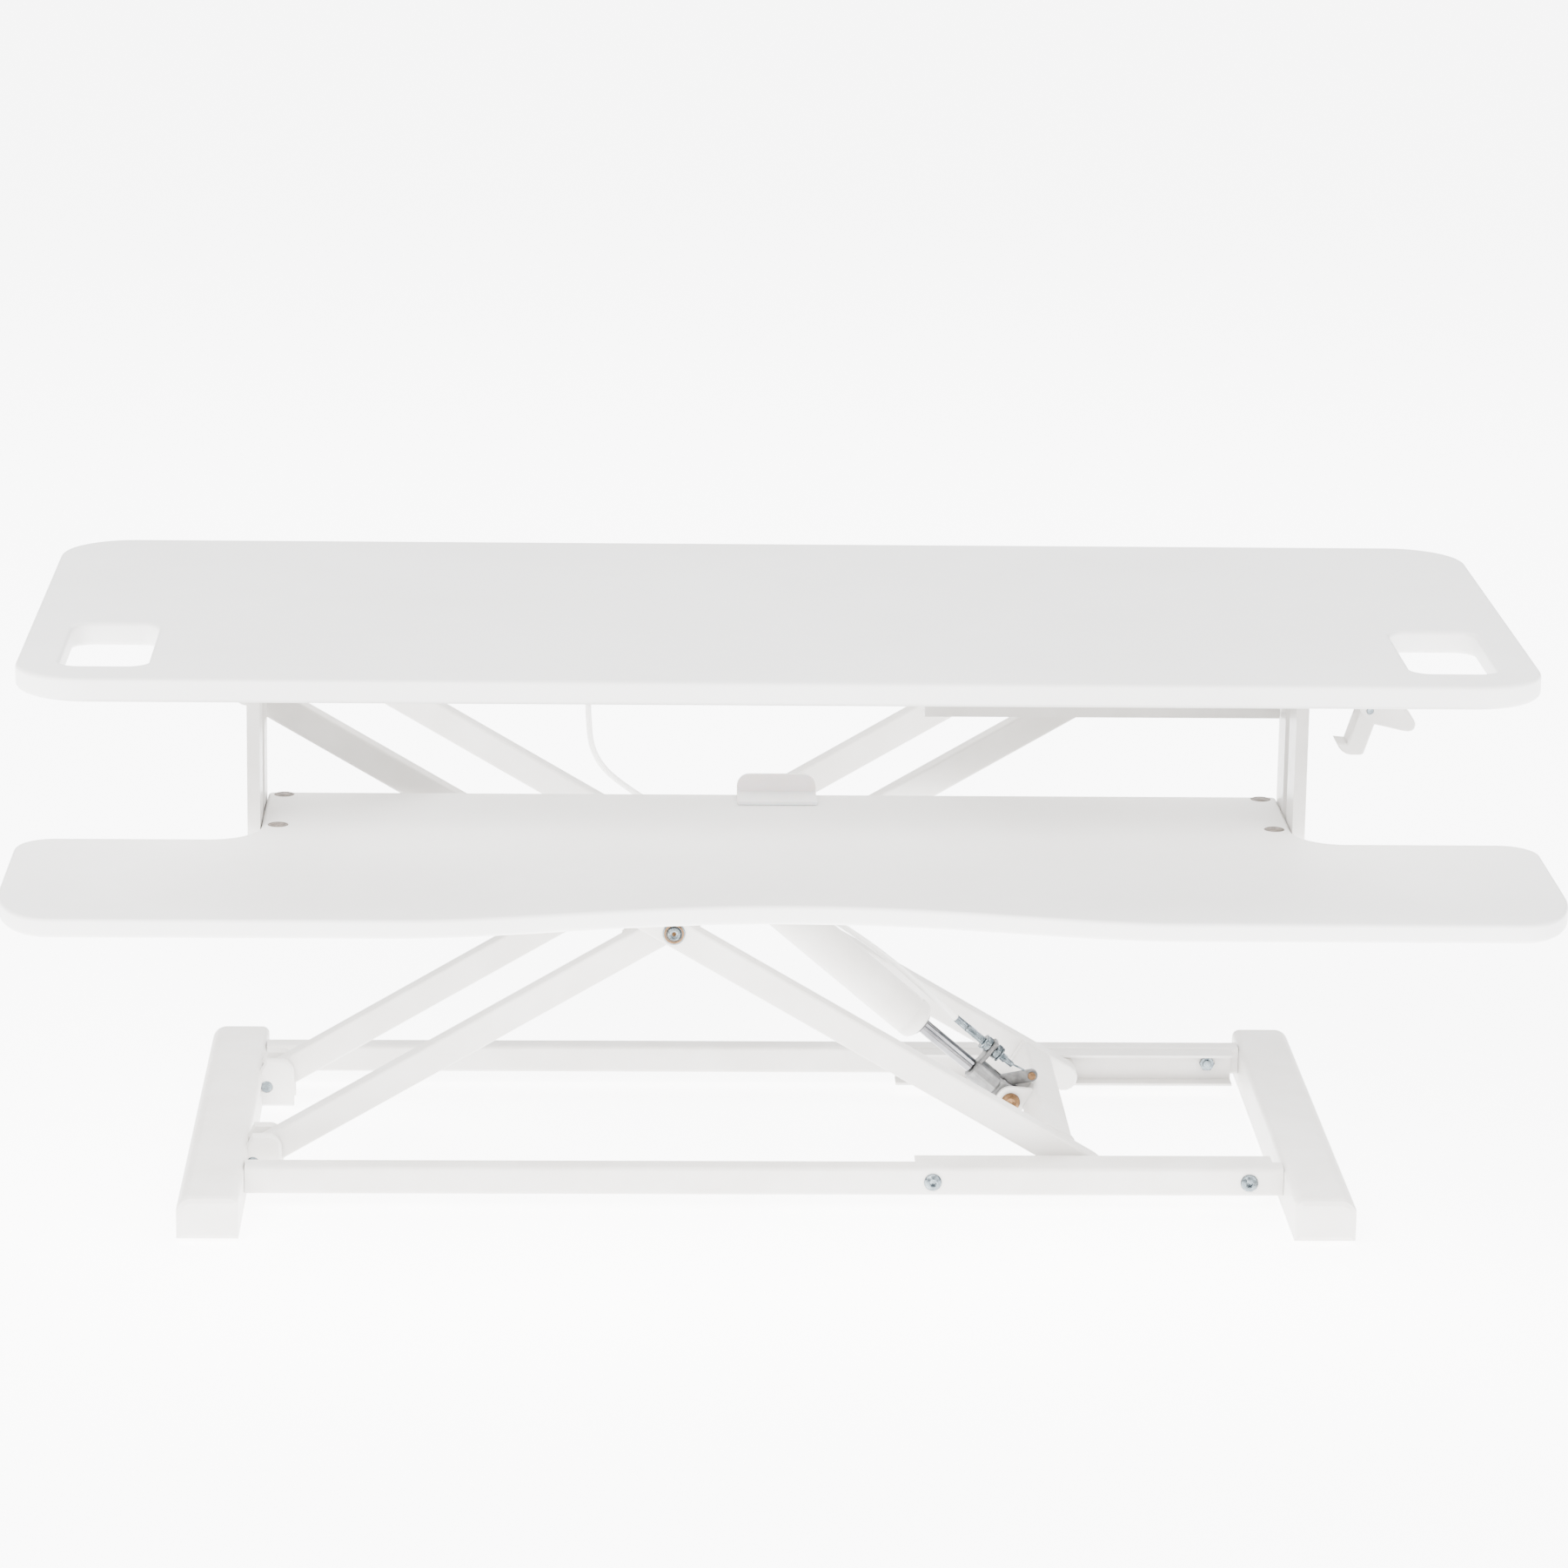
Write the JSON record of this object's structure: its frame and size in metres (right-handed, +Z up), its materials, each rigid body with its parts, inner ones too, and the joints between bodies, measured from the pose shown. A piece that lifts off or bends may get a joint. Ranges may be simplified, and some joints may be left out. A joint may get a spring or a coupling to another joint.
{
  "type": "standing desk converter",
  "caption": "Height-adjustable desk riser with a keyboard tray on hangers, lifted level by a double scissor frame with a lockable gas spring and a squeeze release.",
  "frame": {"origin": "centre of the overall footprint at the surface it stands on", "axes": "+X to the right of the user, +Y away from the user, +Z up"},
  "size_m": [0.95, 0.572, 0.387],
  "materials": {
    "board": "white laminated board, satin, softly rounded edges",
    "paint": "white powder coat, fine satin",
    "moulded": "white moulded plastic, fine texture",
    "stop_plastic": "milky white plastic, slightly translucent",
    "cable_sheath": "white smooth sheath",
    "chrome": "hard chrome, ground",
    "cast_alloy": "die cast, satin",
    "zinc": "zinc plated",
    "nylon": "natural nylon",
    "rubber": "matt",
    "cap": "matt grey-brown cap"
  },
  "bodies": {
    "base": {"left_foot": "moulded", "right_foot": "moulded", "rubber_pad_left_front": "rubber", "rubber_pad_left_rear": "rubber", "rubber_pad_right_front": "rubber", "rubber_pad_right_rear": "rubber", "channel_screw_front_left": "zinc", "channel_screw_front_right": "zinc", "channel_screw_rear_left": "zinc", "channel_screw_rear_right": "zinc", "base_rail_front": "paint", "base_rail_rear": "paint", "base_channel_front": "paint", "base_channel_rear": "paint", "base_hinge_pin_front": "zinc", "base_hinge_pin_rear": "zinc"},
    "inner_arms": {"inner_arm_front": "paint", "inner_arm_rear": "paint", "centre_bolt_front": "zinc", "centre_bolt_rear": "zinc", "centre_washer_front": "nylon", "centre_washer_rear": "nylon", "upper_cross_tube": "paint", "spring_upper_pin": "zinc"},
    "outer_arms": {"outer_arm_front": "paint", "outer_arm_rear": "paint", "lower_cross_tube": "paint", "spring_lower_pin": "zinc"},
    "spring_rod": {"piston_rod": "chrome", "release_head": "cast_alloy", "cable_adjuster": "zinc"},
    "spring_release": {"release_lever": "cast_alloy"},
    "spring_cylinder": {"gas_cylinder": "paint"},
    "top": {"desktop": "board", "keyboard_tray": "board", "tray_stop": "stop_plastic", "hanger_left": "paint", "hanger_right": "paint", "lever_bracket": "paint", "lever_pin": "zinc", "release_cable": "cable_sheath", "cable_clip_left": "moulded", "cable_clip_right": "moulded", "tray_screw_cap_left_front": "cap", "tray_screw_cap_left_rear": "cap", "tray_screw_cap_right_front": "cap", "tray_screw_cap_right_rear": "cap", "top_bar_front": "paint", "top_bar_rear": "paint", "top_channel_front": "paint", "top_channel_rear": "paint", "top_hinge_bracket_front": "paint", "top_hinge_bracket_rear": "paint", "top_hinge_pin_front": "zinc", "top_hinge_pin_rear": "zinc"},
    "squeeze_handle": {"squeeze_lever": "moulded"},
    "upper_roller_front": {"upper_roller_front": "nylon"},
    "upper_roller_rear": {"upper_roller_rear": "nylon"},
    "lower_roller_front": {"lower_roller_front": "nylon"},
    "lower_roller_rear": {"lower_roller_rear": "nylon"}
  },
  "joints": [
    {"name": "lift", "type": "hinge", "parent": "base", "child": "inner_arms", "pos_m": [-0.3385, 0.119, 0.018], "axis": [0, -1, 0], "range_deg": [-21.8, 14.6], "deforming": ["release_cable"]},
    {"name": "cross_fold", "type": "hinge", "parent": "inner_arms", "child": "outer_arms", "pos_m": [-0.06336, 0.119, 0.17943], "axis": [0, -1, 0], "range_deg": [-29.6, 44]},
    {"name": "top_level", "type": "hinge", "parent": "outer_arms", "child": "top", "pos_m": [-0.3385, 0.119, 0.34085], "axis": [0, -1, 0], "range_deg": [-22, 14.8]},
    {"name": "spring_swing", "type": "hinge", "parent": "outer_arms", "child": "spring_rod", "pos_m": [0.16673, 0.119, 0.03388], "axis": [0, -1, 0], "range_deg": [-1.5, 1.5]},
    {"name": "spring_stroke", "type": "slide", "parent": "spring_rod", "child": "spring_cylinder", "axis": [-0.7623, 0, 0.6472], "range_m": [-0.028, 0.019]},
    {"name": "squeeze", "type": "hinge", "parent": "top", "child": "squeeze_handle", "pos_m": [0.368, -0.093, 0.36105], "axis": [0, -1, 0], "range_deg": [0, 14], "stiffness_Nm_per_rad": 0.5, "springref_deg": -17.19},
    {"name": "release", "type": "hinge", "parent": "spring_rod", "child": "spring_release", "pos_m": [0.16255, 0.119, 0.04596], "axis": [0, -1, 0], "range_deg": [0, 9]},
    {"name": "upper_roller_front_spin", "type": "hinge", "parent": "inner_arms", "child": "upper_roller_front", "pos_m": [0.21178, 0.006, 0.34085], "axis": [0, 1, 0], "continuous": true},
    {"name": "upper_roller_rear_spin", "type": "hinge", "parent": "inner_arms", "child": "upper_roller_rear", "pos_m": [0.21178, 0.232, 0.34085], "axis": [0, 1, 0], "continuous": true},
    {"name": "lower_roller_front_spin", "type": "hinge", "parent": "outer_arms", "child": "lower_roller_front", "pos_m": [0.21178, 0.006, 0.018], "axis": [0, 1, 0], "continuous": true},
    {"name": "lower_roller_rear_spin", "type": "hinge", "parent": "outer_arms", "child": "lower_roller_rear", "pos_m": [0.21178, 0.232, 0.018], "axis": [0, 1, 0], "continuous": true}
  ],
  "couplings": [
    {"joint": "cross_fold", "follows": "lift", "ratio": -2},
    {"joint": "top_level", "follows": "lift", "ratio": 1},
    {"joint": "spring_swing", "follows": "lift", "ratio": 0.016},
    {"joint": "spring_stroke", "follows": "lift", "m_per_rad": 0.07162},
    {"joint": "release", "follows": "squeeze", "ratio": 0.6}
  ]
}
